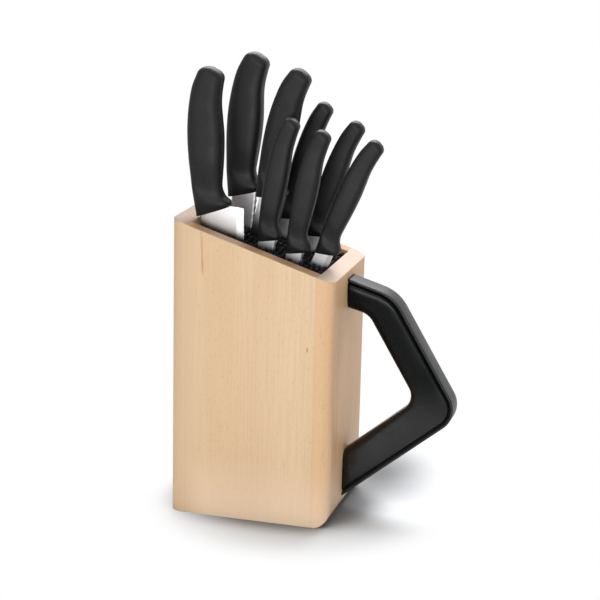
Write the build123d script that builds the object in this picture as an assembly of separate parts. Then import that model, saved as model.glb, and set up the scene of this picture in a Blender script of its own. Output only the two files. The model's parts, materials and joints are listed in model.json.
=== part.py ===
"""Knife block with a carry handle, eight knives and a bristle insert.

Frame: +X from the tall end towards the carry handle, +Y from the front to the back,
+Z up. The origin is the centre of the block's underside. Millimetres.
"""

import os
from math import cos, radians, sin

from build123d import *

# ---- Wooden block -----------------------------------------------------------
block_width = 137.0          # along X, over both end boards
block_depth = 115.0          # along Y, over the front and back boards
tall_end_height = 250.0
handle_end_height = 207.0
board_thickness = 14.0       # the four upright boards
base_thickness = 12.0
corner_radius = 12.0         # upright corners of the block
lower_edge_radius = 12.0     # lower edge of the handle end
rim_round = 0.8              # broken edge round the slanted rim

dowel_diameter = 6.0
dowel_length = 20.0
dowel_edge_distance = 36.0   # lowest and highest dowel, from the ends of a joint

# ---- Bristle insert ---------------------------------------------------------
insert_clearance = 0.2       # tray to pocket, each side
tray_wall = 1.2
tray_floor = 2.0
tray_height = 18.0
bristle_diameter = 3.0
bristle_spacing = 4.4        # along X, within a row
bristle_clearance = 0.3      # blade to bristle, each side
bristle_sheet = 2.0          # sheet that the bristles are moulded on
bristle_drop = 5.0           # tips below the slanted rim

# ---- Knives -----------------------------------------------------------------
large_handle_length = 123.0
large_handle_width = 28.5
large_handle_thickness = 20.0
medium_handle_length = 113.0
medium_handle_width = 25.3
medium_handle_thickness = 18.0
small_handle_length = 106.0
small_handle_width = 18.3
small_handle_thickness = 15.0
large_blade_thickness = 1.8
small_blade_thickness = 1.4
large_spine_inset = 3.0      # blade's spine, in from the handle's spine corner
small_spine_inset = 0.5
bolster_slope = 19.0         # degrees, lower end of every handle
butt_slope = 20.0            # degrees, upper end of every handle
tang_share = 0.72            # tang length, of the handle's length
tang_width_share = 0.34      # tang width, of the handle's width
scallop_pitch = 6.0          # wavy edges
scallop_depth = 1.1

# ---- Carry handle -----------------------------------------------------------
grip_thickness = 20.0        # along Y
strap_thickness = 3.6        # outer strap, measured in from the outer contour
upper_arm_top = 201.0        # where the outer contour meets the end board
upper_arm_root = 26.0        # height of the upper arm on the board
lower_arm_bottom = 12.5
lower_arm_root = 40.0
upper_bend_reach = 39.5      # outer corners, out from the end board
upper_bend_height = 189.2
lower_bend_reach = 97.9
lower_bend_height = 92.7
inner_upper_reach = 17.0     # inner corners, out from the end board
upper_arm_bend_depth = 25.12152  # height of the upper arm over its inner corner
inner_lower_reach = 59.0
inner_lower_rise = 8.9       # above the lower bend
outer_upper_radius = 34.0
outer_lower_radius = 20.5
inner_upper_radius = 16.0
inner_lower_radius = 14.0
inner_edge_round = 5.0       # soft inner edges, for the fingers
outer_edge_round = 1.2
strap_edge_round = 0.9

screw_diameter = 5.0
screw_head_diameter = 9.0
screw_head_height = 3.0
screw_length = 25.0          # under the head
screw_spacing = 10.0         # pair in each arm
insert_diameter = 7.0        # threaded bush moulded into the arm
insert_length = 12.0

# ---- Worked out -------------------------------------------------------------
half_width = block_width / 2
half_depth = block_depth / 2
pocket_width = block_width - 2 * board_thickness
pocket_depth = block_depth - 2 * board_thickness
rim_slope = (tall_end_height - handle_end_height) / block_width
row_pitch = bristle_diameter + large_blade_thickness + 2 * bristle_clearance
upright = (Align.CENTER, Align.CENTER, Align.MIN)

handle_sizes = {
    "large": (large_handle_length, large_handle_width, large_handle_thickness),
    "medium": (medium_handle_length, medium_handle_width, medium_handle_thickness),
    "small": (small_handle_length, small_handle_width, small_handle_thickness),
}

# Each knife: name, size, blade form, blade length, blade width, lean in degrees towards
# the carry handle, bristle gap that it stands in (counted from the middle, back is
# positive), X of the spine corner of its handle, and that corner's height over the rim.
knives = [
    ("chef_knife", "large", "heeled", 200.0, 37.0, -1.0, -5, -55.7, 0.9),
    ("bread_knife", "large", "wavy", 198.0, 22.0, 5.0, 3, -42.8, 14.4),
    ("carving_knife", "medium", "pointed", 154.0, 22.0, 13.5, 1, -15.5, 26.9),
    ("utility_knife", "small", "pointed", 112.0, 15.5, 17.0, 5, -1.4, 10.4),
    ("steak_knife", "small", "wavy", 110.0, 15.0, 20.0, 3, 23.8, 8.1),
    ("tomato_knife", "small", "wavy", 108.0, 15.5, 10.5, -4, -5.2, -1.0),
    ("table_knife", "small", "wavy", 104.0, 14.5, 11.6, -5, 20.3, 0.1),
    ("paring_knife", "small", "pointed", 84.0, 14.5, 23.5, -3, 42.0, 7.4),
]

os.makedirs("parts", exist_ok=True)


def save(node, shape):
    shape.label = node
    export_step(shape, f"parts/{node}.step")


def rim_height(x):
    """Height of the slanted rim plane above the underside at x."""
    return tall_end_height - rim_slope * (x + half_width)


# ---- Block: five boards and their dowels ------------------------------------
def block_shell():
    """The four upright boards as one ring, with the slanted rim and rounded edges."""
    plan = RectangleRounded(block_width, block_depth, corner_radius)
    column = extrude(plan, tall_end_height)
    front = Polyline(
        (-half_width, 0),
        (half_width, 0),
        (half_width, handle_end_height),
        (-half_width, tall_end_height),
        close=True,
    )
    front = make_face(front)
    corner = front.vertices().sort_by(Axis.Y)[:2].sort_by(Axis.X)[-1]
    front = fillet(corner, lower_edge_radius)
    side_cut = extrude(Plane.XZ * front, half_depth, both=True)
    pocket = extrude(Rectangle(pocket_width, pocket_depth), tall_end_height)
    shell = (column & side_cut) - pocket
    rim = max(shell.faces(), key=lambda face: face.normal_at().Z * face.center().Z)
    return fillet(rim.edges(), rim_round)


def dowel_axes():
    """Start points of the dowels: two corner joints at each end board, and the base."""
    top_of_run = handle_end_height - dowel_edge_distance
    middle = (dowel_edge_distance + top_of_run) / 2
    for side in (-1, 1):
        joint_x = side * pocket_width / 2
        for y in (-1, 1):
            joint_y = y * (half_depth - board_thickness / 2)
            for z in (dowel_edge_distance, middle, top_of_run):
                yield joint_x, joint_y, z
        for y in (-pocket_depth / 4, pocket_depth / 4):
            yield joint_x, y, base_thickness / 2


def dowel_set():
    """All the dowels, each centred on its joint face and lying along X."""
    dowel = Rot(0, 90, 0) * Cylinder(dowel_diameter / 2, dowel_length)
    return [Pos(x, y, z) * dowel for x, y, z in dowel_axes()]


def board_region(width, depth, x, y):
    return Pos(x, y, 0) * Box(width, depth, tall_end_height, align=upright)


end_x = half_width - board_thickness / 2
wall_y = half_depth - board_thickness / 2
shell = block_shell()
dowels = dowel_set()
boards = {
    "tall_end_board": shell & board_region(board_thickness, block_depth, -end_x, 0),
    "handle_end_board": shell & board_region(board_thickness, block_depth, end_x, 0),
    "front_board": shell & board_region(pocket_width, board_thickness, 0, -wall_y),
    "back_board": shell & board_region(pocket_width, board_thickness, 0, wall_y),
    "base_board": Box(pocket_width, pocket_depth, base_thickness, align=upright),
}


# ---- Bristle insert ---------------------------------------------------------
def insert_tray():
    """Shallow moulded tray on the base board that keeps the bristles together."""
    width = pocket_width - 2 * insert_clearance
    depth = pocket_depth - 2 * insert_clearance
    outer = Box(width, depth, tray_height, align=upright)
    hollow = Box(width - 2 * tray_wall, depth - 2 * tray_wall, tray_height, align=upright)
    return Pos(0, 0, base_thickness) * (outer - Pos(0, 0, tray_floor) * hollow)


def bristle_count(room, pitch):
    """Even number of bristles across the tray, so that a gap lies on the middle."""
    return 2 * int((room / 2 - bristle_diameter / 2 + pitch / 2) / pitch)


def bristle_bed():
    """Bristles in rows along X; each blade stands in the gap between two rows."""
    room_x = pocket_width - 2 * (insert_clearance + tray_wall)
    room_y = pocket_depth - 2 * (insert_clearance + tray_wall)
    root = base_thickness + tray_floor
    sheet = Pos(0, 0, root) * Box(room_x, room_y, bristle_sheet, align=upright)
    columns = bristle_count(room_x, bristle_spacing)
    rows = bristle_count(room_y, row_pitch)
    places = GridLocations(bristle_spacing, row_pitch, columns, rows)
    tips = Plane(
        origin=(0, 0, rim_height(0) - bristle_drop),
        x_dir=(1, 0, -rim_slope),
        z_dir=(rim_slope, 0, 1),
    )
    rod = Pos(0, 0, root) * Cylinder(bristle_diameter / 2, tall_end_height, align=upright)
    rods = [split(place * rod, bisect_by=tips, keep=Keep.BOTTOM) for place in places]
    return sheet + rods


# ---- Carry handle -----------------------------------------------------------
def corner_area(corners, radii):
    """Area left of a chain of corners that starts and ends inside the end board."""
    first, second, third, last = corners
    into_board = board_thickness / 2
    upper_slope = (second[1] - first[1]) / second[0]
    lower_slope = (third[1] - last[1]) / third[0]
    chain = [
        (half_width - into_board, first[1] - upper_slope * into_board),
        (half_width + second[0], second[1]),
        (half_width + third[0], third[1]),
        (half_width - into_board, last[1] - lower_slope * into_board),
    ]
    area = make_face(Polyline(*chain, close=True))
    bends = area.vertices().sort_by(Axis.X)[-2:]
    area = fillet(bends[0], radii[0])
    bend = area.vertices().sort_by(Axis.X)[-1]
    return fillet(bend, radii[1])


def outside_board(area):
    """The share of an area that lies beyond the end board's face."""
    reach = 2 * lower_bend_reach
    beyond = Pos(half_width + reach / 2, block_width) * Rectangle(reach, 3 * block_width)
    return area & beyond


def height_on(start, end, reach):
    """Height of a straight stretch of contour at a reach from the end board."""
    return start[1] + (end[1] - start[1]) * (reach - start[0]) / (end[0] - start[0])


outer_corners = [
    (0, upper_arm_top),
    (upper_bend_reach, upper_bend_height),
    (lower_bend_reach, lower_bend_height),
    (0, lower_arm_bottom),
]
upper_arm_above = height_on(*outer_corners[:2], inner_upper_reach)
inner_corners = [
    (0, upper_arm_top - upper_arm_root),
    (inner_upper_reach, upper_arm_above - upper_arm_bend_depth),
    (inner_lower_reach, lower_bend_height + inner_lower_rise),
    (0, lower_arm_bottom + lower_arm_root),
]


def edges_along(solid, area, thickness):
    """Edges of a flat-sided moulding that follow the outline of an area in X and Z."""
    outline = area.face().outer_wire()
    found = []
    for edge in solid.edges():
        middle = edge.position_at(0.5)
        on_side = abs(abs(middle.Y) - thickness / 2) < 0.01
        if on_side and outline.distance_to(Vertex(middle.X, middle.Z, 0)) < 0.01:
            found.append(edge)
    return found


def arm_screws():
    """Centre heights of the screws, a pair in the middle of each arm, clear of the strap."""
    upper_outer = min(height_on(*outer_corners[:2], reach) for reach in (0, insert_length))
    lower_outer = max(height_on(*outer_corners[2:], reach) for reach in (0, insert_length))
    upper_inner = height_on(*inner_corners[:2], insert_length)
    lower_inner = height_on(*inner_corners[2:], insert_length)
    upper = (upper_outer - strap_thickness + upper_inner) / 2
    lower = (lower_outer + strap_thickness + lower_inner) / 2
    return [z + side * screw_spacing / 2 for z in (upper, lower) for side in (-1, 1)]


def along_x(radius, length, x, z):
    """Round bar along X that starts at x."""
    return Pos(x + length / 2, 0, z) * Rot(0, 90, 0) * Cylinder(radius, length)


def carry_handle_parts():
    """The moulded loop and the strap that runs round its outer contour."""
    full = corner_area(outer_corners, (outer_upper_radius, outer_lower_radius))
    core = offset(full, -strap_thickness)
    gap = corner_area(inner_corners, (inner_upper_radius, inner_lower_radius))
    loop_area = outside_board(core - gap)
    strap_area = outside_board(full - core)
    loop = extrude(Plane.XZ * loop_area, grip_thickness / 2, both=True)
    strap = extrude(Plane.XZ * strap_area, grip_thickness / 2, both=True)
    loop = fillet(edges_along(loop, gap, grip_thickness), inner_edge_round)
    loop = fillet(edges_along(loop, core, grip_thickness), outer_edge_round)
    for area in (full, core):
        strap = fillet(edges_along(strap, area, grip_thickness), strap_edge_round)
    return loop, strap


def screw_at(z):
    """Machine screw from inside the pocket, through the end board into the arm."""
    seat = half_width - board_thickness + screw_head_height
    head = along_x(screw_head_diameter / 2, screw_head_height, seat - screw_head_height, z)
    return head + along_x(screw_diameter / 2, screw_length, seat, z)


def bush_at(z):
    """Threaded bush in the arm's root, flush with its end."""
    outer = along_x(insert_diameter / 2, insert_length, half_width, z)
    return outer - along_x(screw_diameter / 2, insert_length, half_width, z)


screws = [screw_at(z) for z in arm_screws()]
bushes = [bush_at(z) for z in arm_screws()]
bush_holes = [along_x(insert_diameter / 2, insert_length, half_width, z) for z in arm_screws()]
carry_loop, carry_strap = carry_handle_parts()
carry_loop = carry_loop - bush_holes - screws
boards["handle_end_board"] = boards["handle_end_board"] - screws


# ---- Knives -----------------------------------------------------------------
# Sections of a knife handle: height as a share of its length, spine side and edge side
# as shares of its width, and thickness as a share of the full thickness.
handle_sections = [
    (-0.04, 0.02, 0.96, 0.86),
    (0.03, -0.01, 0.99, 0.92),
    (0.07, -0.035, 1.00, 0.92),
    (0.11, -0.065, 0.90, 0.88),
    (0.15, -0.09, 0.79, 0.86),
    (0.20, -0.12, 0.745, 0.88),
    (0.27, -0.15, 0.75, 0.94),
    (0.36, -0.18, 0.785, 0.99),
    (0.46, -0.197, 0.82, 1.00),
    (0.56, -0.20, 0.83, 0.99),
    (0.66, -0.18, 0.80, 0.96),
    (0.76, -0.13, 0.77, 0.93),
    (0.86, -0.05, 0.82, 0.91),
    (0.95, 0.08, 0.89, 0.90),
    (1.04, 0.22, 0.98, 0.90),
]
section_round = 0.36         # corner radius of a section, of its thickness
butt_round = 0.2             # rounding of the butt, of the handle's thickness
bolster_round = 1.2
blade_in_handle = 4.0        # full blade width that the moulding covers


def sloped_plane(x, y, degrees):
    """Plane across the knife through a point, its normal turned from the knife's axis."""
    turn = radians(degrees)
    return Plane(origin=(x, y, 0), x_dir=(cos(turn), sin(turn), 0), z_dir=(-sin(turn), cos(turn), 0))


def knife_handle(size):
    """Moulded handle, its axis along Y and its spine corner at the origin."""
    length, width, thickness = handle_sizes[size]
    sections = []
    for height, spine_side, edge_side, share in handle_sections:
        depth = thickness * share
        middle = (spine_side + edge_side) / 2 * width
        across = (edge_side - spine_side) * width
        level = Plane(origin=(middle, height * length, 0), x_dir=(1, 0, 0), z_dir=(0, 1, 0))
        sections.append(level * RectangleRounded(across, depth, section_round * depth))
    body = loft(sections)
    bolster = sloped_plane(0, 0, bolster_slope)
    body = split(body, bisect_by=bolster, keep=Keep.TOP)
    butt = sloped_plane(0.3 * width, length, -butt_slope)
    body = split(body, bisect_by=butt, keep=Keep.BOTTOM)
    butt_face = body.faces().sort_by(Axis.Y)[-1]
    body = fillet(butt_face.edges(), butt_round * thickness)
    bolster_face = body.faces().sort_by(Axis.Y)[0]
    return fillet(bolster_face.edges(), bolster_round)


def blade_outline(form, length, width, spine, handle_width):
    """Outline of a blade below its handle, with the edge side towards +X."""
    bolster_rise = sin(radians(bolster_slope)) / cos(radians(bolster_slope))
    edge = spine + width
    covered = 0.8 * handle_width
    spine_top = spine * bolster_rise + blade_in_handle
    covered_top = covered * bolster_rise + blade_in_handle
    heel = min(edge, covered) * bolster_rise + blade_in_handle
    if form == "heeled":
        heel = 0.3 * handle_width
    if form == "wavy":
        tip = (spine + 0.62 * width, -length)
        spine_end, edge_end = 0.76, 0.93
    else:
        tip = (spine + 0.12 * width, -length)
        spine_end, edge_end = 0.9, 0.45
    spine_corner = (spine, -spine_end * length)
    edge_corner = (edge, -edge_end * length)
    lines = [Line((spine, spine_top), spine_corner)]
    lines.append(TangentArc(spine_corner, tip, tangent=(0, -1)))
    lines.append(TangentArc(edge_corner, tip, tangent=(0, -1)))
    if form == "wavy":
        lines += wavy_edge(edge, heel - scallop_pitch, edge_corner[1])
        lines.append(Line((edge, heel), (edge, heel - scallop_pitch)))
    else:
        lines.append(Line((edge, heel), edge_corner))
    if edge > covered:
        lines.append(Line((covered, covered_top), (edge, heel)))
        lines.append(Line((spine, spine_top), (covered, covered_top)))
    else:
        lines.append(Line((spine, spine_top), (edge, heel)))
    return make_face(lines)


def wavy_edge(edge, top, bottom):
    """Shallow scallops along a straight edge, at about the set pitch."""
    count = max(1, round((top - bottom) / scallop_pitch))
    pitch = (top - bottom) / count
    waves = []
    for step in range(count):
        upper = top - step * pitch
        middle = (edge - scallop_depth, upper - pitch / 2)
        waves.append(ThreePointArc((edge, upper), middle, (edge, upper - pitch)))
    return waves


def knife_blade(size, form, length, width):
    """Blade with the tang that the handle is moulded round."""
    handle_length, handle_width = handle_sizes[size][:2]
    if size == "small":
        thickness, spine = small_blade_thickness, small_spine_inset
    else:
        thickness, spine = large_blade_thickness, large_spine_inset
    outline = blade_outline(form, length, width, spine, handle_width)
    tang_length = tang_share * handle_length
    tang_width = tang_width_share * handle_width
    tang = Pos(0.3 * handle_width, tang_length / 2) * Rectangle(tang_width, tang_length)
    return extrude(outline + tang, thickness / 2, both=True)


def knife_place(lean, gap, x, stand):
    """Where a knife stands: its handle's spine corner, its lean and its bristle gap."""
    turn = radians(lean)
    return Plane(
        origin=(x, gap * row_pitch, rim_height(x) + stand),
        x_dir=(cos(turn), 0, -sin(turn)),
        z_dir=(0, -1, 0),
    )


handles = {size: knife_handle(size) for size in handle_sizes}
for name, size, form, length, width, lean, gap, x, stand in knives:
    place = knife_place(lean, gap, x, stand)
    blade = knife_blade(size, form, length, width)
    save(name + "_blade", place * blade)
    save(name + "_handle", place * (handles[size] - blade))


# ---- Write the block, the insert and the carry handle -----------------------
for node, board in boards.items():
    save(node, board - dowels)
save("dowels", Compound(children=dowels))
save("insert_tray", insert_tray())
save("bristles", bristle_bed())
save("carry_handle", carry_loop)
save("handle_strap", carry_strap)
save("handle_screws", Compound(children=screws))
save("handle_bushes", Compound(children=bushes))
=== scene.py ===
"""Knife block with a carry handle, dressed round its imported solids.

Metres, in the frame of the solids: +X towards the carry handle, +Y from the front to the
back, +Z up, with the origin at the centre of the block's underside.
"""

import json
from math import cos, pi, radians, sin, sqrt, tan

import bmesh
import bpy
from mathutils import Matrix, Vector


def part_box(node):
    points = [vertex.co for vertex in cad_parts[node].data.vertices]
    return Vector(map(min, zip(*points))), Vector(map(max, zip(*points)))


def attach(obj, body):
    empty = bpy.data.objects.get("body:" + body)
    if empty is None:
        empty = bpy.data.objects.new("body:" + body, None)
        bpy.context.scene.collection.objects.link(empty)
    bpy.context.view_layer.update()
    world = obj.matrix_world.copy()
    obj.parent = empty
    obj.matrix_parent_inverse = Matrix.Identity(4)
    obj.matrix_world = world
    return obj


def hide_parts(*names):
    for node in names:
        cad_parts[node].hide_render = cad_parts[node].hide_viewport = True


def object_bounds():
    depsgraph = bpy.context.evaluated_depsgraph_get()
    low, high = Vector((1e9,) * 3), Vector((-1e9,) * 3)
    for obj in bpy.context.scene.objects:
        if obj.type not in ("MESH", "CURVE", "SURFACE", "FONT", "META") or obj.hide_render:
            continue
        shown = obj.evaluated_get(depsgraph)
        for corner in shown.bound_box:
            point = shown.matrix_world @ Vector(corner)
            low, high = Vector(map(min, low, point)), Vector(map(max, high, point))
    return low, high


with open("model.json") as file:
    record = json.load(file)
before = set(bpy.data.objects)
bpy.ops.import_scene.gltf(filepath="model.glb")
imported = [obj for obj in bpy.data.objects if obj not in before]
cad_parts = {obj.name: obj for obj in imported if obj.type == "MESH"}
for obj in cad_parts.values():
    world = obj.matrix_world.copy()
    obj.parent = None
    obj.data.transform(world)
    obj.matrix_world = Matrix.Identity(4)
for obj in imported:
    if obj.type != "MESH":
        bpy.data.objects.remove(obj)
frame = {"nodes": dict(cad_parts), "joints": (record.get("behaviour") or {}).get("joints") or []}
cad_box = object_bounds()
joints = {joint["child"]: joint for joint in frame["joints"]}
scene = bpy.context.scene


# ---- Stage ------------------------------------------------------------------
# A white seamless floor and soft lamps: a broad low one and a weak high one in front, a
# broad one above the back, and a warm one on the right. The eye and the reflections see a
# brighter room than the one that lights the block.

camera_place = Vector((0.4227, -1.4377, 0.5656))
camera_turn = 0.2694  # radians, to the left
camera_dip = 0.2551  # radians, below level
camera_roll = 0.0230
camera_lens = 111.34  # mm on a 36 mm sensor

white = (1, 1, 1, 1)
room_light = 0.25  # what the room gives as light, where it is seen as 1

floor_half = 12.0
painted_floor_shade_tone = (0.255, 0.268, 0.285)
floor_light_tone = (0.90, 0.935, 0.98)
floor_fade_centre = (0.030, 0.048, 0)
floor_fade_shape = (0.95, 1.2, 1)
floor_fade_range = (0.090, 0.160)  # from its centre, where the floor turns white
painted_contact_reach = 0.040  # how far painted shade spreads on the floor from a near piece
painted_contact_range = (0.50, 0.97)  # share of open sky, from the painted shade tone to the light one
painted_handle_shadow_centre = (0.078, 0.088, 0)  # where a soft shadow is painted, as the carry handle would throw it
painted_handle_shadow_reach = (0.064, 0.110, 1)


def add_object(name, data):
    """A new object of some data, in the scene."""
    added = bpy.data.objects.new(name, data)
    scene.collection.objects.link(added)
    return added


camera_data = bpy.data.cameras.new("camera")
camera_data.lens = camera_lens
camera_data.sensor_width = 36.0
camera_data.clip_end = 60.0
camera = add_object("camera", camera_data)
camera.matrix_world = (
    Matrix.Translation(camera_place)
    @ Matrix.Rotation(camera_turn, 4, "Z")
    @ Matrix.Rotation(pi / 2 - camera_dip, 4, "X")
    @ Matrix.Rotation(camera_roll, 4, "Z")
)
scene.camera = camera
scene.view_settings.view_transform = "Standard"


def area_lamp(name, place, target, size, power, tint=(1, 1, 1)):
    """A rectangular lamp that faces a target; size in metres, power in watts."""
    data = bpy.data.lights.new(name, "AREA")
    data.shape = "RECTANGLE"
    data.size, data.size_y = size
    data.energy = power
    data.color = tint
    lamp = add_object(name, data)
    aim = (Vector(target) - Vector(place)).to_track_quat("-Z", "Y")
    lamp.matrix_world = Matrix.Translation(place) @ aim.to_matrix().to_4x4()
    return lamp


area_lamp("front_lamp", (0.10, -1.95, 0.34), (0, 0, 0.16), (0.9, 0.5), 16.2)
area_lamp("overhead_lamp", (-0.06, 0.90, 1.22), (0, 0, 0.1), (1.0, 0.8), 23.0)
area_lamp("high_front_lamp", (0.12, -1.0, 1.35), (0, 0, 0.2), (0.5, 0.25), 3.0)
warm_light = (1.0, 0.84, 0.68)
right_lamp = area_lamp("right_lamp", (1.5, -0.3, 1.1), (0.02, 0, 0.25), (0.5, 0.8), 2.2, warm_light)
right_lamp.visible_glossy = False


def new_node(tree, kind, **settings):
    """Adds a node to a tree and sets its own settings."""
    node = tree.nodes.new(kind)
    for name, value in settings.items():
        setattr(node, name, value)
    return node


def connect(tree, source, socket):
    """Feeds an input from an output socket, or gives it a value."""
    if isinstance(source, bpy.types.NodeSocket):
        tree.links.new(source, socket)
    else:
        socket.default_value = source


def feed(tree, node, *sources, **named_sources):
    """Connects a node's first inputs in order and others by name; a kind gives a new node."""
    if isinstance(node, str):
        node = new_node(tree, node)
    for socket, source in zip(node.inputs, sources):
        connect(tree, source, socket)
    for name, source in named_sources.items():
        connect(tree, source, node.inputs[name.replace("_", " ")])
    return node


def number(tree, operation, *terms, clamp=False):
    """One Math node on numbers or sockets; gives its output."""
    node = new_node(tree, "ShaderNodeMath", operation=operation, use_clamp=clamp)
    return feed(tree, node, *terms).outputs[0]


def ranged(tree, value, low, high, to_low=0.0, to_high=1.0):
    """A number taken smoothly from one range to another, and held inside it."""
    node = new_node(tree, "ShaderNodeMapRange", interpolation_type="SMOOTHSTEP")
    feed(tree, node, Value=value, From_Min=low, From_Max=high, To_Min=to_low, To_Max=to_high)
    return node.outputs["Result"]


def blended(tree, share, first, second):
    """Two colours mixed by a share; gives a colour."""
    node = new_node(tree, "ShaderNodeMix", data_type="RGBA")
    connect(tree, share, node.inputs[0])
    for socket, colour in ((6, first), (7, second)):
        connect(tree, (*colour, 1.0) if isinstance(colour, tuple) else colour, node.inputs[socket])
    return node.outputs[2]


def layered(tree, colour, layers):
    """A colour under several tones, each laid on by a share and a depth."""
    for share, depth, tone in layers:
        colour = blended(tree, number(tree, "MULTIPLY", share, depth), colour, tone)
    return colour


def node_group(name, kind, inputs, results):
    """A node group with named inputs and outputs; gives it, its input and its output node."""
    group = bpy.data.node_groups.new(name, kind)
    for way, sockets in (("INPUT", inputs), ("OUTPUT", results)):
        for label, value in sockets:
            group.interface.new_socket(label, in_out=way, socket_type="NodeSocket" + value)
    return group, group.nodes.new("NodeGroupInput"), group.nodes.new("NodeGroupOutput")


def parts_of(tree, vector):
    """The parts of a vector, to be taken by the names X, Y and Z."""
    return feed(tree, "ShaderNodeSeparateXYZ", vector).outputs


def object_place(tree):
    """Place in the piece's own frame, in metres."""
    return new_node(tree, "ShaderNodeTexCoord").outputs["Object"]


def white_to_the_eye(tree):
    """One on camera, glossy and transmission rays, nothing on the rest."""
    path = new_node(tree, "ShaderNodeLightPath").outputs
    seen = number(tree, "ADD", path["Is Camera Ray"], path["Is Glossy Ray"], clamp=True)
    return number(tree, "ADD", seen, path["Is Transmission Ray"], clamp=True)


def end_in_mix(tree, share, first, second, output_kind):
    """Ends a tree in a mix of two shader nodes."""
    mix = feed(tree, "ShaderNodeMixShader", share, first.outputs[0], second.outputs[0])
    feed(tree, output_kind, mix.outputs[0])


world = bpy.data.worlds.new("studio")
scene.world = world
world.use_nodes = True
sky = world.node_tree
sky.nodes.clear()
rooms = [feed(sky, "ShaderNodeBackground", Color=white, Strength=light) for light in (room_light, 1.0)]
end_in_mix(sky, white_to_the_eye(sky), *rooms, "ShaderNodeOutputWorld")


def new_material(name):
    """A new node material; gives the material, its tree and its Principled shader."""
    material = bpy.data.materials.new(name)
    material.use_nodes = True
    tree = material.node_tree
    return material, tree, tree.nodes["Principled BSDF"]


def distance_from(tree, centre, shape):
    """Distance from a point, in units that the shape stretches along each axis."""
    centred = new_node(tree, "ShaderNodeMapping", vector_type="TEXTURE")
    feed(tree, centred, object_place(tree), Location=centre, Scale=shape)
    length = new_node(tree, "ShaderNodeVectorMath", operation="LENGTH")
    return feed(tree, length, centred.outputs[0]).outputs["Value"]


def open_share(tree, clear_range, **inputs):
    """How open a point is to its surroundings, over a range of occlusion."""
    around = feed(tree, new_node(tree, "ShaderNodeAmbientOcclusion", samples=16), **inputs)
    return ranged(tree, around.outputs["AO"], *clear_range)


def floor_material():
    """Matt white near the block, where it takes the lamps' shadows and painted shade, and plain white
    further out.
    """
    material, tree = new_material("studio_floor")[:2]
    tree.nodes.clear()
    fade = ranged(tree, distance_from(tree, floor_fade_centre, floor_fade_shape), *floor_fade_range)
    hidden = number(tree, "MULTIPLY", fade, white_to_the_eye(tree))
    # Painted shade on the floor close to the block, and a painted shadow under the carry handle.
    near_block = open_share(tree, painted_contact_range, Distance=painted_contact_reach)
    painted_handle_shadow = ranged(tree, distance_from(tree, painted_handle_shadow_centre, painted_handle_shadow_reach), 0.0, 1.0)
    lit = number(tree, "MULTIPLY", near_block, painted_handle_shadow)
    matt = feed(tree, "ShaderNodeBsdfDiffuse", Color=blended(tree, lit, painted_floor_shade_tone, floor_light_tone))
    glow = feed(tree, "ShaderNodeEmission", Color=white, Strength=1.0)
    end_in_mix(tree, hidden, matt, glow, "ShaderNodeOutputMaterial")
    return material


def coat(mesh, material):
    """Gives a mesh one material of its own."""
    mesh.materials.clear()
    mesh.materials.append(material)


def placed(name, mesh, material, smooth):
    """An object at the origin that shows a mesh in one material."""
    coat(mesh, material)
    mesh.polygons.foreach_set("use_smooth", [smooth] * len(mesh.polygons))
    return add_object(name, mesh)


def new_piece(name, points, faces, material, smooth=True):
    """A piece from points and faces, with its faces turned outwards."""
    mesh = bpy.data.meshes.new(name)
    mesh.from_pydata(points, [], faces)
    build = bmesh.new()
    build.from_mesh(mesh)
    bmesh.ops.remove_doubles(build, verts=build.verts, dist=1e-6)
    bmesh.ops.recalc_face_normals(build, faces=build.faces)
    build.to_mesh(mesh)
    build.free()
    return placed(name, mesh, material, smooth)


def walls_between(rows, count):
    """Quads that join rings of as many points each, one above the other."""
    faces = []
    for row in range(0, (rows - 1) * count, count):
        for step in range(count):
            a, b = row + step, row + (step + 1) % count
            faces.append((a, b, b + count, a + count))
    return faces


def closed_bar(rows, count):
    """The same, with strips of quads across both flat ends between the halves of their rings."""
    faces = walls_between(rows, count)
    for first in (0, (rows - 1) * count):
        for step in range(first, first + count // 2 - 1):
            across = 2 * first + count - 1 - step
            faces.append((step, step + 1, across - 1, across))
    return faces


floor_corners = [(x * floor_half, y * floor_half, 0) for x, y in ((-1, -1), (1, -1), (1, 1), (-1, 1))]
floor = new_piece("floor", floor_corners, [(0, 1, 2, 3)], floor_material())


# ---- Beech boards -----------------------------------------------------------
# The block is glued up from oiled beech: two end boards run the full depth, with the front
# and back boards between them and a base board inside. Grain runs upwards, so the slanted
# rim shows the boards' ends. The joints are doweled, flush and barely visible.

side_tone = (0.800, 0.580, 0.368)  # upright grain
side_deep_tone = (0.700, 0.460, 0.268)
end_board_tone = (0.830, 0.525, 0.285)  # handle end board
rim_tone = (0.650, 0.380, 0.200)  # end grain of the front, back and base boards
painted_light_handle_rim_tone = (0.810, 0.620, 0.500)  # end grain of the handle end board, lighter with painted light, as if lit from the right
painted_shade_tall_rim_tone = (0.350, 0.220, 0.135)  # end grain of the tall end board, darker with painted shade, as if out of the light
painted_edge_highlight_tone = (0.960, 0.750, 0.520)  # painted highlight along the front and back edges of the rim
pore_tone = (0.420, 0.220, 0.110)
mark_tone = (0.560, 0.250, 0.090)
painted_worktop_glow_tone = (0.980, 0.770, 0.570)  # painted reflection: paler near the worktop, as if its white shone up on the oil
painted_corner_shade_tone = (0.700, 0.490, 0.305)  # painted shade towards the tall end, which gets the least light
painted_glow_reach = 0.060
painted_corner_shade_range = (-0.062, -0.034)
eased_edge = 0.0020
half_depth = cad_box[1].y
joint_line = 0.00018  # half the width of a glue line

# Noise waves per metre along X, Y and Z: what runs along the grain is long in Z.
band_waves, fibre_waves = (26, 26, 1.6), (640, 640, 14)
fleck_waves, streak_waves = (1200, 1200, 230), (170, 170, 9)
pore_waves, ring_bend_waves = (1500, 1500, 1500), (14, 14, 14)
fleck_cover = 0.62  # 0 for hardly any flecks, 1 for many
ring_scale, ring_bend = 120.0, 9.0

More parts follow.
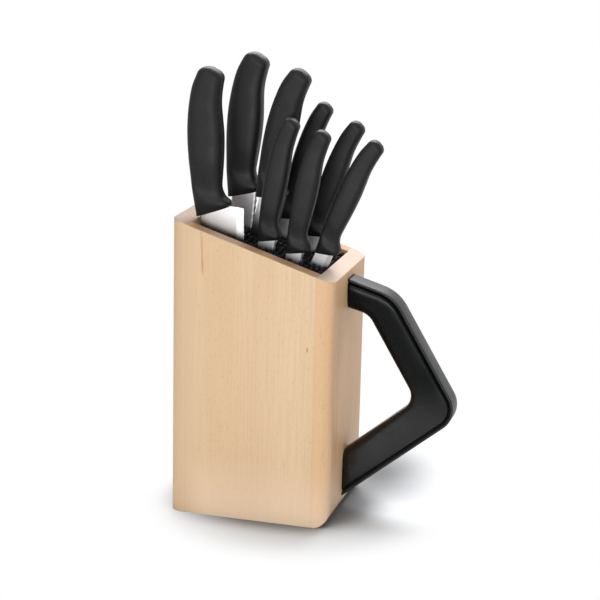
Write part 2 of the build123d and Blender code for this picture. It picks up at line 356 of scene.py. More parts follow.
# How strongly each part of the figure colours the wood, and then the painted highlight and the painted
# reflection.
band_depth, fibre_depth, fleck_depth, streak_depth = 0.60, 0.45, 0.26, 0.35
ring_depth, pore_depth, painted_edge_highlight_depth, glue_depth, painted_glow_depth = 0.25, 0.28, 0.75, 0.13, 0.52


def stretched_noise(tree, vector, waves, detail, roughness=0.5):
    """Noise with as many waves per metre along each axis; gives a number."""
    scaled = feed(tree, new_node(tree, "ShaderNodeVectorMath", operation="MULTIPLY"), vector, waves)
    noise = feed(tree, "ShaderNodeTexNoise", Vector=scaled.outputs[0], Scale=1.0)
    feed(tree, noise, Detail=detail, Roughness=roughness)
    return noise.outputs[0]


def add_relief(tree, shader, height, strength, distance):
    """Gives a surface a fine relief."""
    relief = feed(tree, "ShaderNodeBump", Strength=strength, Distance=distance, Height=height)
    feed(tree, shader, Normal=relief.outputs[0])


def wood_figure_group():
    """Upright figure: broad bands, fine fibres, dark flecks and rare streaks."""
    inputs = [("Vector", "Vector"), ("Fleck Cover", "Float")]
    results = [(label, "Float") for label in ("Bands", "Fibres", "Flecks", "Streaks", "Height")]
    group, inlet, outlet = node_group("wood_figure", "ShaderNodeTree", inputs, results)
    vector = inlet.outputs["Vector"]
    bands = ranged(group, stretched_noise(group, vector, band_waves, 3.0), 0.3, 0.7)
    fibres = stretched_noise(group, vector, fibre_waves, 3.0, 0.6)
    limit = ranged(group, inlet.outputs["Fleck Cover"], 0.0, 1.0, 0.80, 0.52)
    over = number(group, "SUBTRACT", stretched_noise(group, vector, fleck_waves, 1.0), limit)
    flecks = number(group, "MULTIPLY", over, 9.0, clamp=True)
    streaks = ranged(group, stretched_noise(group, vector, streak_waves, 1.5), 0.70, 0.80)
    height = number(group, "SUBTRACT", fibres, flecks)
    feed(group, outlet, Bands=bands, Fibres=fibres, Flecks=flecks, Streaks=streaks, Height=height)
    return group


def end_grain_group():
    """End grain: faint growth rings, and open pores as fine dots."""
    results = [("Pores", "Float"), ("Rings", "Float")]
    group, inlet, outlet = node_group("end_grain", "ShaderNodeTree", [("Vector", "Vector")], results)
    vector = inlet.outputs["Vector"]
    bend = number(group, "MULTIPLY", stretched_noise(group, vector, ring_bend_waves, 1.0), ring_bend)
    rings = new_node(group, "ShaderNodeTexWave", bands_direction="Y")
    feed(group, rings, Vector=vector, Scale=ring_scale, Distortion=bend, Detail=2.0)
    pores = ranged(group, stretched_noise(group, vector, pore_waves, 1.0), 0.50, 0.68)
    feed(group, outlet, Pores=pores, Rings=rings.outputs["Fac"])
    return group


wood_figure = wood_figure_group()
end_grain = end_grain_group()


def grain_mark(tree, spot, across, at, z, half_width, half_height):
    """Share of a dark mark that runs along the grain round a point of the board."""
    shares = []
    for axis, middle, reach in ((across, at, half_width), ("Z", z, half_height)):
        away = number(tree, "ABSOLUTE", number(tree, "SUBTRACT", spot[axis], middle))
        shares.append(ranged(tree, away, 0.3 * reach, reach, 1.0, 0.0))
    return number(tree, "MULTIPLY", *shares)


def beech(name, offset, face, rim, joint_x, marks=()):
    """Oiled beech: figure on the faces, end grain where it faces up, glue lines at the joints, a painted
    reflection towards the bottom, painted shade towards the tall end and a painted highlight along the rim's
    edges.
    """
    material, tree, shader = new_material(name)
    place = object_place(tree)
    spot = parts_of(tree, place)
    shifted = feed(tree, new_node(tree, "ShaderNodeVectorMath", operation="ADD"), place, offset)
    faces = new_node(tree, "ShaderNodeGroup", node_tree=wood_figure)
    faces = feed(tree, faces, Vector=shifted.outputs[0], Fleck_Cover=fleck_cover).outputs
    ends = new_node(tree, "ShaderNodeGroup", node_tree=end_grain)
    ends = feed(tree, ends, Vector=shifted.outputs[0]).outputs

    layers = [
        (faces["Bands"], band_depth, side_deep_tone),
        (ranged(tree, faces["Fibres"], 0.35, 0.70), fibre_depth, side_deep_tone),
        (faces["Flecks"], fleck_depth, pore_tone),
        (faces["Streaks"], streak_depth, pore_tone),
    ]
    layers += [(grain_mark(tree, spot, *mark), depth, mark_tone) for *mark, depth in marks]
    # Painted reflection of the worktop, paler towards the bottom.
    layers.append((ranged(tree, spot["Z"], 0.0, painted_glow_reach, 1.0, 0.0), painted_glow_depth, painted_worktop_glow_tone))
    # Painted shade, darker towards the tall end.
    layers.append((ranged(tree, spot["X"], *painted_corner_shade_range, 1.0, 0.0), 1.0, painted_corner_shade_tone))
    side = layered(tree, face, layers)

    outward = number(tree, "ABSOLUTE", spot["Y"])
    # Painted highlight along the front and back edges of the rim.
    painted_edge_highlight = ranged(tree, outward, half_depth - eased_edge, half_depth - 0.4 * eased_edge)
    layers = [
        (ends["Rings"], ring_depth, side_deep_tone),
        (ends["Pores"], pore_depth, pore_tone),
        (painted_edge_highlight, painted_edge_highlight_depth, painted_edge_highlight_tone),
    ]
    top = layered(tree, rim, layers)

    facing = parts_of(tree, new_node(tree, "ShaderNodeNewGeometry").outputs["Normal"])
    colour = blended(tree, ranged(tree, facing["Z"], 0.35, 0.75), side, top)
    away = number(tree, "ABSOLUTE", number(tree, "SUBTRACT", number(tree, "ABSOLUTE", spot["X"]), joint_x))
    glue = ranged(tree, away, joint_line * 0.5, joint_line * 2.0, 1.0, 0.0)
    colour = layered(tree, colour, [(glue, glue_depth, pore_tone)])

    gloss = ranged(tree, faces["Fibres"], 0.3, 0.7, 0.44, 0.56)
    feed(tree, shader, Base_Color=colour, Roughness=gloss, Specular_IOR_Level=0.30)
    feed(tree, shader, Coat_Weight=0.05, Coat_Roughness=0.35)
    add_relief(tree, shader, faces["Height"], 0.12, 0.0002)
    return material


def refinish(node, material):
    """Gives a solid's mesh one material of its own."""
    coat(frame["nodes"][node].data, material)


# Marks along the grain: axis and place across, height, half width, half height, depth.
grain_marks = {
    "front_board": [
        ("X", -0.0410, 0.223, 0.0011, 0.020, 0.65),
        ("X", -0.0402, 0.212, 0.0008, 0.009, 0.75),
        ("X", -0.0421, 0.236, 0.0008, 0.012, 0.45),
        ("X", 0.0485, 0.1513, 0.0011, 0.0030, 0.85),
    ],
    "handle_end_board": [("Y", -0.0335, 0.08, 0.0008, 0.16, 0.60)],
}
joint_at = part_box("front_board")[1].x
no_joint = 1.0  # beyond every board
# Boards: shift of the figure, tone of the faces and of the rim; the end boards' rim tones hold painted shade
# and painted light.
board_finishes = [
    ("tall_end_board", (0.31, 0.07, 0.02), side_tone, painted_shade_tall_rim_tone),
    ("handle_end_board", (0.83, 0.45, 0.53), end_board_tone, painted_light_handle_rim_tone),
    ("front_board", (0.10, 0.62, 0.18), side_tone, rim_tone),
    ("back_board", (0.57, 0.91, 0.71), side_tone, rim_tone),
    ("base_board", (0.23, 0.34, 0.95), side_tone, rim_tone),
]
for node, offset, face, rim in board_finishes:
    refinish(node, beech(node + "_beech", offset, face, rim, joint_at, grain_marks.get(node, ())))
refinish("dowels", beech("dowel_beech", (0.4, 0.2, 0.6), side_tone, rim_tone, no_joint))


# ---- Black plastics ---------------------------------------------------------


def moulded_black(name, tone, roughness, specular, grain, relief_strength):
    """Black moulded plastic with a fine spark-eroded grain and slightly uneven gloss."""
    material, tree, shader = new_material(name)
    place = object_place(tree)
    grain_noise = stretched_noise(tree, place, (grain,) * 3, 2.0)
    cloud = stretched_noise(tree, place, (60, 60, 60), 3.0)
    lighter = tuple(channel * 1.7 + 0.004 for channel in tone)
    colour = blended(tree, ranged(tree, grain_noise, 0.35, 0.75), tone, lighter)
    gloss = ranged(tree, cloud, 0.3, 0.7, roughness - 0.04, roughness + 0.05)
    feed(tree, shader, Base_Color=colour, Roughness=gloss, Specular_IOR_Level=specular)
    add_relief(tree, shader, grain_noise, relief_strength, 0.0001)
    return material


def shinier_below(material, low, high, low_specular, high_specular):
    """Lets a material's reflection grow from one height down to another."""
    tree = material.node_tree
    height = parts_of(tree, object_place(tree))["Z"]
    specular = ranged(tree, height, low, high, low_specular, high_specular)
    feed(tree, tree.nodes["Principled BSDF"], Specular_IOR_Level=specular)


# Tone, roughness, specular level, waves of the grain per metre and strength of its relief.
bristle_black = moulded_black("bristle_black", (0.0025, 0.0025, 0.0028), 0.52, 0.20, 1400, 0.15)
tray_black = moulded_black("tray_black", (0.012, 0.012, 0.013), 0.55, 0.4, 900, 0.2)
loop_black = moulded_black("carry_loop_black", (0.0014, 0.0017, 0.0020), 0.24, 0.18, 1100, 0.02)
strap_black = moulded_black("carry_strap_black", (0.0090, 0.0098, 0.0102), 0.36, 0.30, 1300, 0.05)
knife_black = moulded_black("knife_handle_black", (0.0062, 0.0062, 0.0064), 0.50, 0.24, 1700, 0.16)
shinier_below(loop_black, 0.075, 0.125, 0.44, 0.11)


# ---- Bristles ---------------------------------------------------------------
# The pocket is filled with a bed of upright black plastic rods on a moulded sheet. They
# bend aside for a blade, so they stand in rows with the blades between them, and their
# rounded tips follow the slanted rim at slightly uneven heights.

bristle_radius = 0.0015
bristle_pitch = 0.0044  # along a row
row_pitch = 0.0054
tip_drop = 0.005  # under the rim
tip_unevenness = 0.0022
bristle_tilt = 0.005  # radians, between the most tilted either way
bristle_spin = 6.28  # radians, between the least and the most turned
bristle_sheet = 0.002

bed_low, bed_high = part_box("bristles")
tall_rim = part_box("tall_end_board")[1].z
low_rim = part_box("handle_end_board")[1].z
block_low, block_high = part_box("tall_end_board")[0].x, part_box("handle_end_board")[1].x


def grown_piece(name, tree, values, material):
    """Runs a tree with its inputs set, and keeps the result as a plain mesh object."""
    seed_mesh = bpy.data.meshes.new(name + "_seed")
    grower = add_object(name + "_grower", seed_mesh)
    modifier = grower.modifiers.new("grow", "NODES")
    modifier.node_group = tree
    for item in tree.interface.items_tree:
        if item.in_out == "INPUT" and item.name in values:
            modifier[item.identifier] = values[item.name]
    ready = grower.evaluated_get(bpy.context.evaluated_depsgraph_get())
    mesh = bpy.data.meshes.new_from_object(ready)
    bpy.data.objects.remove(grower)
    bpy.data.meshes.remove(seed_mesh)
    mesh.name = name
    return placed(name, mesh, material, True)


def vector_of(tree, x, y, z):
    """A vector from its three parts."""
    return feed(tree, "ShaderNodeCombineXYZ", x, y, z).outputs[0]


def upright_rod(tree, place, dome):
    """A rod of radius and height one: a ball with its upper half as the dome, the rest as the foot."""
    ball = feed(tree, "GeometryNodeMeshUVSphere", Segments=8, Rings=6, Radius=1.0)
    upper_half = number(tree, "GREATER_THAN", place["Z"], -0.01)
    on_dome = number(tree, "MULTIPLY_ADD", place["Z"], dome, number(tree, "SUBTRACT", 1.0, dome))
    drawn = vector_of(tree, place["X"], place["Y"], number(tree, "MULTIPLY", on_dome, upper_half))
    rod = new_node(tree, "GeometryNodeSetPosition")
    return feed(tree, rod, Geometry=ball.outputs["Mesh"], Position=drawn).outputs[0]


def bristle_tree():
    """Rows of round-tipped rods on a sheet, up to a slope."""
    labels = ["Rod Radius", "Pitch", "Row Pitch", "Root Height", "Middle Height", "Slope"]
    labels += ["Unevenness", "Tilt", "Spin"]
    inputs = [(label, "Float") for label in labels]
    inputs += [("Columns", "Int"), ("Rows", "Int"), ("Seed", "Int")]
    inputs += [("Sheet Size", "Vector"), ("Material", "Material")]
    tree, inlet, outlet = node_group("bristle_bed", "GeometryNodeTree", inputs, [("Geometry", "Geometry")])
    given = inlet.outputs
    radius, root = given["Rod Radius"], given["Root Height"]
    middle_length = number(tree, "SUBTRACT", given["Middle Height"], root)
    place = parts_of(tree, new_node(tree, "GeometryNodeInputPosition").outputs[0])
    rod = upright_rod(tree, place, number(tree, "DIVIDE", radius, middle_length))

    width = number(tree, "MULTIPLY", given["Pitch"], number(tree, "SUBTRACT", given["Columns"], 1.0))
    depth = number(tree, "MULTIPLY", given["Row Pitch"], number(tree, "SUBTRACT", given["Rows"], 1.0))
    grid = feed(tree, "GeometryNodeMeshGrid", Size_X=width, Size_Y=depth)
    feed(tree, grid, Vertices_X=given["Columns"], Vertices_Y=given["Rows"])
    at_root = vector_of(tree, 0.0, 0.0, root)
    spots = feed(tree, "GeometryNodeSetPosition", Geometry=grid.outputs["Mesh"], Offset=at_root)

    spread = new_node(tree, "FunctionNodeRandomValue", data_type="FLOAT")
    feed(tree, spread, Seed=given["Seed"])
    shorter = number(tree, "MULTIPLY", spread.outputs[1], given["Unevenness"])
    length = number(tree, "MULTIPLY_ADD", place["X"], given["Slope"], middle_length)
    length = number(tree, "SUBTRACT", length, shorter)
    lean = new_node(tree, "FunctionNodeRandomValue", data_type="FLOAT")
    feed(tree, lean, Seed=number(tree, "ADD", given["Seed"], 1.0))
    tilt = number(tree, "MULTIPLY", number(tree, "SUBTRACT", lean.outputs[1], 0.5), given["Tilt"])
    spin = number(tree, "MULTIPLY", spread.outputs[1], given["Spin"])
    planted = feed(tree, "GeometryNodeInstanceOnPoints", Points=spots.outputs[0], Instance=rod)
    feed(tree, planted, Rotation=vector_of(tree, 0.0, tilt, spin))
    feed(tree, planted, Scale=vector_of(tree, radius, radius, length))

    slab = feed(tree, "GeometryNodeMeshCube", Size=given["Sheet Size"])
    seated = feed(tree, "GeometryNodeTransform", Geometry=slab.outputs["Mesh"], Translation=at_root)
    joined = new_node(tree, "GeometryNodeJoinGeometry")
    for piece in (seated, planted):
        tree.links.new(piece.outputs[0], joined.inputs[0])
    real = feed(tree, "GeometryNodeRealizeInstances", joined.outputs[0])
    painted = feed(tree, "GeometryNodeSetMaterial", Geometry=real.outputs[0], Material=given["Material"])
    feed(tree, outlet, Geometry=painted.outputs[0])
    return tree


def rods_within(room, pitch):
    """Even number of rods across a room, so that a gap lies on the middle."""
    return 2 * int((room / 2 - bristle_radius + pitch / 2) / pitch + 1e-6)


room = bed_high - bed_low
bristles = grown_piece(
    "bristle_bed",
    bristle_tree(),
    {
        "Rod Radius": bristle_radius,
        "Pitch": bristle_pitch,
        "Row Pitch": row_pitch,
        "Root Height": bed_low.z + bristle_sheet / 2,
        "Middle Height": (tall_rim + low_rim) / 2 - tip_drop,
        "Slope": (low_rim - tall_rim) / (block_high - block_low),
        "Unevenness": tip_unevenness,
        "Tilt": bristle_tilt,
        "Spin": bristle_spin,
        "Columns": rods_within(room.x, bristle_pitch),
        "Rows": rods_within(room.y, row_pitch),
        "Seed": 4,
        "Sheet Size": (room.x, room.y, bristle_sheet),
        "Material": bristle_black,
    },
    bristle_black,
)
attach(bristles, "block")
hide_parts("bristles")
refinish("insert_tray", tray_black)


# ---- Carry handle -----------------------------------------------------------
# A satin black moulding, screwed to the end board from inside the pocket. A strap of the
# same plastic runs round its outer contour, with a fine groove between the two, and the
# inner edges are rounded for the fingers.

board_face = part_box("handle_end_board")[1].x
half_grip = 0.010
strap_thickness = 0.0036
outer_bends = [(0.0, 0.201), (0.0395, 0.1892), (0.0979, 0.0927), (0.0, 0.0125)]
inner_bends = [(0.0, 0.175), (0.017, 0.1708), (0.059, 0.1016), (0.0, 0.0525)]
outer_radii = (0.034, 0.0205)
inner_radii = (0.016, 0.014)
finger_round = 0.0105  # reach of the soft rounding along the inner contour
finger_edge = 0.16  # share of the half thickness where it starts
finger_softness = 0.80  # 1 is a quarter of an ellipse
loop_crown = 0.0005  # rise of the flat to its crest
crown_fall = 0.0003  # its fall from there to the groove
groove_round = 0.0030
groove_width = 0.0015
groove_depth = 0.0030
strap_bevel = [(0.0002, 0.0004), (0.0005, 0.0)]  # from the groove's side, and under the top
strap_outer_round = 0.0012
run_steps, bend_steps = 12, 16
finger_steps, crown_steps, crest_step = 12, 6, 4
groove_round_steps, strap_round_steps = 5, 7


def moved_inside(corners, distance):
    """Corners of the contour that lies a distance inside another; both end at the board."""
    lines = []
    for start, end in zip(corners, corners[1:]):
        along = (Vector(end) - Vector(start)).normalized()
        lines.append((Vector(start) + distance * Vector((along.y, -along.x)), along))
    moved = []
    walls = [(Vector((0.0, 0.0)), Vector((0.0, 1.0)))]
    for (a, along), (b, other) in zip(walls + lines, lines + walls):
        cross = along.x * other.y - along.y * other.x
        moved.append(a + along * ((b - a).x * other.y - (b - a).y * other.x) / cross)
    return moved


def contour(corners, radii):
    """Points along straight runs and round bends, as many on every contour."""
    corners = [Vector(corner) for corner in corners]
    starts, ends, bends = [corners[0]], [], []
    for before, corner, after, radius in zip(corners, corners[1:], corners[2:], radii):
        back, ahead = (before - corner).normalized(), (after - corner).normalized()
        half_turn = back.angle(ahead) / 2
        centre = corner + (back + ahead).normalized() * radius / sin(half_turn)
        ends.append(corner + back * radius / tan(half_turn))
        starts.append(corner + ahead * radius / tan(half_turn))
        bends.append((centre, ends[-1] - centre, starts[-1] - centre))
    ends.append(corners[-1])
    points = []
    for run, (start, end) in enumerate(zip(starts, ends)):
        points += [start.lerp(end, step / run_steps) for step in range(run_steps + 1)]
        if run < len(bends):
            centre, first, last = bends[run]
            for step in range(1, bend_steps):
                spoke = first.lerp(last, step / bend_steps).normalized() * first.length
                points.append(centre + spoke)
    return points


def swept_band(name, inner, outer, section, material):
    """A closed moulding between two contours; its section gives half thickness over the width."""
    points = []
    for near, far in zip(inner, outer):
        width = (far - near).length
        ring = section(width)
        ring += [(across, -half) for across, half in reversed(ring)]
        for across, half in ring:
            place = near.lerp(far, across / width)
            points.append((board_face + place.x, half, place.y))
    piece = new_piece(name, points, closed_bar(len(inner), len(ring)), material)
    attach(piece, "block")
    return piece


def quarter_round(width, top, radius, steps):
    """Points down a quarter round at the outer side of a section."""
    turns = [pi / 2 * step / steps for step in range(steps + 1)]
    return [(width - radius * (1 - sin(turn)), top - radius * (1 - cos(turn))) for turn in turns]


def loop_section(width):
    """Soft towards the fingers, gently crowned, with a small round at the groove."""
    side = half_grip - loop_crown
    flat = width - groove_round - finger_round
    ring = []
    for step in range(finger_steps + 1):
        turn = pi / 2 * step / finger_steps
        rise = finger_edge + (1 - finger_edge) * sin(turn) ** finger_softness
        ring.append((finger_round * (1 - cos(turn) ** finger_softness), side * rise))
    for step in range(1, crown_steps + 1):
        if step < crest_step:
            crown = loop_crown * sin(pi / 2 * step / crest_step)
        else:
            crown = loop_crown - crown_fall * ((step - crest_step) / (crown_steps - crest_step)) ** 2
        ring.append((finger_round + flat * step / crown_steps, side + crown))
    return ring + quarter_round(width, half_grip - crown_fall, groove_round, groove_round_steps)[1:]


def strap_section(width):
    """The groove's floor along the inside, then the strap with its outer round."""
    groove_floor = half_grip - groove_depth
    ring = [(0.0, groove_floor), (groove_width, groove_floor)]
    ring += [(groove_width + across, half_grip - under) for across, under in strap_bevel]
    return ring + quarter_round(width, half_grip, strap_outer_round, strap_round_steps)


outer_line = contour(outer_bends, outer_radii)
groove_radii = [radius - strap_thickness for radius in outer_radii]
groove_line = contour(moved_inside(outer_bends, strap_thickness), groove_radii)
inner_line = contour(inner_bends, inner_radii)
loop = swept_band("carry_loop", inner_line, groove_line, loop_section, loop_black)
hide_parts("carry_handle")
strap = swept_band("carry_strap", groove_line, outer_line, strap_section, strap_black)
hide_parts("handle_strap")


def metal(name, tone, roughness, scratch_waves):
    """Worked metal with fine lines, brighter and duller in turn."""
    material, tree, shader = new_material(name)
    lines = stretched_noise(tree, object_place(tree), scratch_waves, 2.0)
    darker = tuple(channel * 0.82 for channel in tone)
    gloss = ranged(tree, lines, 0.3, 0.7, roughness - 0.06, roughness + 0.08)
    feed(tree, shader, Base_Color=blended(tree, lines, darker, tone), Roughness=gloss, Metallic=1.0)
    return material


refinish("handle_screws", metal("screw_zinc", (0.62, 0.63, 0.65), 0.34, (300, 2600, 2600)))
refinish("handle_bushes", metal("bush_brass", (0.78, 0.58, 0.27), 0.30, (3000, 300, 300)))


# ---- Knives -----------------------------------------------------------------
# Eight stamped kitchen knives. Each blade is ground thinner towards its edge and runs into
# the handle as a tang; the handle is black plastic moulded round it, with a rounded butt,
# a hollow for the thumb above a slanted crest, and a guard for the finger on the edge side.

# Length, width and thickness.
handle_sizes = {
    "large": (0.123, 0.0285, 0.020),
    "medium": (0.113, 0.0253, 0.018),
    "small": (0.106, 0.0183, 0.015),
}
bolster_slope = tan(radians(19))
butt_slope = tan(radians(26))
draw_margin = 0.005  # a knife's travel, past its blade's length
spine_inset = {"large": 0.003, "medium": 0.003, "small": 0.0005}

knife_forms = {
    "chef_knife": ("large", "heeled"),
    "bread_knife": ("large", "wavy"),
    "carving_knife": ("medium", "pointed"),
    "utility_knife": ("small", "pointed"),
    "steak_knife": ("small", "wavy"),
    "tomato_knife": ("small", "wavy"),
    "table_knife": ("small", "wavy"),
    "paring_knife": ("small", "pointed"),
}

# Stations up a handle, as shares of its length; spine side and edge side as shares of its
# width; thickness as a share of the full thickness.
handle_stations = [
    (-0.04, 0.02, 0.96, 0.86),
    (0.04, -0.015, 0.99, 0.92),
    (0.08, -0.043, 1.015, 0.92),
    (0.105, -0.06, 1.01, 0.90),
    (0.13, -0.076, 0.93, 0.88),
    (0.155, -0.092, 0.825, 0.87),
    (0.20, -0.12, 0.745, 0.88),
    (0.27, -0.15, 0.75, 0.94),
    (0.36, -0.19, 0.775, 0.99),
    (0.46, -0.222, 0.795, 1.00),
    (0.56, -0.236, 0.795, 0.99),
    (0.66, -0.222, 0.76, 0.96),
    (0.76, -0.175, 0.73, 0.93),
    (0.86, -0.09, 0.785, 0.91),
    (0.95, 0.045, 0.865, 0.90),
    (1.04, 0.195, 0.965, 0.90),
]
section_squareness = 3.4  # 2 is an ellipse, more is squarer
edge_corner_round = 0.28  # rounding of the butt's corners, of the thickness
spine_corner_round = 0.48
crown_reach = 0.36  # length over which the butt narrows to its crown, of the thickness
crown_rise = 0.115  # of the thickness, above the length
crown_left = 0.22  # share of the thickness that is left at the crown
bolster_round = 0.0012
guard_round = 0.10  # of the thickness
handle_middle = 0.3  # middle of the handle, of the width from the spine side
bolster_share = 0.20  # of the length, over which the rings lose the bolster's slope
butt_share = 0.72  # of the length, from where they take on the butt's slope
crest_rise = (0.13, 0.67)  # crest over the bolster, at the guard and added at the spine
crest_bend = 1.8
hollow_depth = 0.15  # of the thickness
hollow_rise = (0.34, 1.15)  # of the width over the crest, where it is deepest and where it ends
hollow_fade = (-0.15, 0.35)  # of the width from the spine side, where it starts and is full
taper_depth = 0.20
points_round = 56
guard_rings, body_rings, butt_rings = 8, 84, 10


def eased(low, high, value):
    """Runs smoothly from 0 to 1 between two values."""
    share = min(1.0, max(0.0, (value - low) / (high - low)))
    return share * share * (3 - 2 * share)


def station(share, column):
    """Smooth value of one column of the handle's stations at a share of its length."""
    index = 0
    while index < len(handle_stations) - 2 and handle_stations[index + 1][0] < share:
        index += 1
    start, end = handle_stations[index], handle_stations[index + 1]
    before = handle_stations[max(index - 1, 0)]
    after = handle_stations[min(index + 2, len(handle_stations) - 1)]
    span = end[0] - start[0]
    step = (share - start[0]) / span
    slope_in = (end[column] - before[column]) / (end[0] - before[0]) * span
    slope_out = (after[column] - start[column]) / (after[0] - start[0]) * span
    rise = step * step * (3 - 2 * step)
    curve = slope_in * step * (1 - step) ** 2 - slope_out * step * step * (1 - step)
    return start[column] * (1 - rise) + end[column] * rise + curve


def knife_place(name):
    """Matrix from a knife's own frame (edge, up the knife, thickness) to its place in the block."""
    axis = Vector(joints[name]["axis"])
    travel = joints[name]["range_m"][1]
    across = Vector((axis.z, 0, -axis.x))
    points = [v.co for v in frame["nodes"][name + "_blade"].data.vertices]
    low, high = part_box(name + "_blade")
    size = knife_forms[name][0]
    edge_side = min(p.dot(across) for p in points) - spine_inset[size]
    height = min(p.dot(axis) for p in points) + travel - draw_margin
    origin = across * edge_side + axis * height + Vector((0, (low.y + high.y) / 2, 0))
    turn = Matrix((across, axis, (0, -1, 0))).transposed()
    return Matrix.Translation(origin) @ turn.to_4x4()


def flank_share(share_across, over_bolster, width):
    """What the thumb hollow, the crest under it and the taper leave of the thickness."""
    crest = width * (crest_rise[0] + crest_rise[1] * (1 - share_across) ** crest_bend)
    if over_bolster < crest:
        return 1 - taper_depth * (1 - eased(0.0, crest, over_bolster))
    rise = (over_bolster - crest) / width
    deep = eased(0.0, hollow_rise[0], rise) * (1 - eased(*hollow_rise, rise))
    return 1 - hollow_depth * deep * eased(*hollow_fade, share_across)


def rounded_off(left, radius):
    """How far a quarter round has moved in where this much is left before its end."""
    if left >= radius:
        return 0.0
    return radius - sqrt(max(0.0, radius * radius - (radius - left) ** 2))


def handle_ring(size, level, slope, before_butt):
    """One ring of points round a handle, on a plane through a level that slopes across it."""
    length, width, thickness = size
    start = rounded_off(level, bolster_round)
    spine_round = start + rounded_off(before_butt, spine_corner_round * thickness)
    edge_round = max(start, rounded_off(level, guard_round * thickness))
    edge_round += rounded_off(before_butt, edge_corner_round * thickness)
    crown = rounded_off(before_butt, crown_reach * thickness) / (crown_reach * thickness)
    ring = []
    for step in range(points_round):
        turn = 2 * pi * step / points_round
        side, face = cos(turn), sin(turn)
        across = abs(side) ** (2 / section_squareness) * (1 if side > 0 else -1)
        outward = abs(face) ** (2 / section_squareness) * (1 if face > 0 else -1)
        share_across = (across + 1) / 2
        height = level + share_across * width * slope
        at = height / length
        spine = station(at, 1) * width + spine_round
        edge = station(at, 2) * width - edge_round
        half_thick = station(at, 3) * thickness / 2
        over_bolster = height - share_across * width * bolster_slope
        half_thick *= flank_share(share_across, over_bolster, width)
        x = (spine + edge) / 2 + across * (edge - spine) / 2
        z = outward * (half_thick - start) * (1 - (1 - crown_left) * crown)
        ring.append((x, level + x * slope, z))
    return ring


def handle_mesh(size):
    """Rings from the bolster to the butt, each end rounded over and closed with a flat face."""
    length, width, thickness = size
    top = length + handle_middle * width * butt_slope + crown_rise * thickness
    guard_reach, butt_reach = guard_round * thickness, crown_reach * thickness
    levels = []
    for step in range(guard_rings + 1):
        levels.append((guard_reach * (1 - cos(pi / 2 * step / guard_rings)), bolster_slope))
    for step in range(1, body_rings):
        share = step / body_rings
        at_butt = eased(butt_share, 1.0, share)
        slope = bolster_slope * (1 - eased(0.0, bolster_share, share)) - butt_slope * at_butt
        level = guard_reach + share * (length - butt_reach - guard_reach)
        levels.append((level + (top - length) * at_butt, slope))
    for step in range(butt_rings + 1):
        levels.append((top - butt_reach * (1 - sin(pi / 2 * step / butt_rings)), -butt_slope))
    points = []
    for level, slope in levels:
        points += handle_ring(size, level, slope, top - level)
    faces = walls_between(len(levels), points_round)
    faces += [tuple(range(points_round)), tuple(range(len(points) - points_round, len(points)))]
    return points, faces


# Blade forms: place of the tip across the blade, and where the spine and the edge start to
# curve towards it, as shares of the blade's width and length.
blade_forms = {
    "heeled": (0.12, 0.90, 0.45),
    "pointed": (0.12, 0.90, 0.45),
    "wavy": (0.62, 0.76, 0.93),
}
blade_thickness = {"large": 0.0018, "medium": 0.0018, "small": 0.0014}
grind_width = {"heeled": 0.0060, "pointed": 0.0040, "wavy": 0.0032}
scallop_pitch = 0.006
scallop_depth = 0.0008
blade_in_handle = 0.004  # full width of the blade that the handle covers
bolster_width = 0.8  # part of a handle's width under which a blade follows its slope
heel_rise = 0.3  # height of a heeled blade's heel, of the handle's width
tang_share = 0.72
tang_width_share = 0.34
tang_rise = 0.001  # start of the tang, over the bolster
cut_edge = 0.00012  # thickness left at the cutting edge
spine_edge = 0.0004  # reach of the eased edges along the spine
spine_left = 0.7  # share of the thickness at the spine
shoulder_left = 0.92  # share of the thickness where the grind starts
tip_left = 0.25  # share of the thickness at the tip
thinning_width = 0.008  # the blade thins where it is narrower than about this
top_slant = 0.10  # of the length, over which the rows lose the slant of the top
rows_per_wave, plain_rows = 10, 70
tip_reach = 0.03  # of the length, with rows closer together
tip_rows = 12


def arc_inset(gone, drop, reach):
    """How far an arc that starts along the blade has moved in after a length of its reach."""
    if gone <= 0:
        return 0.0
    radius = (drop * drop + reach * reach) / (2 * drop)
    return radius - sqrt(max(0.0, radius * radius - min(gone, reach) ** 2))


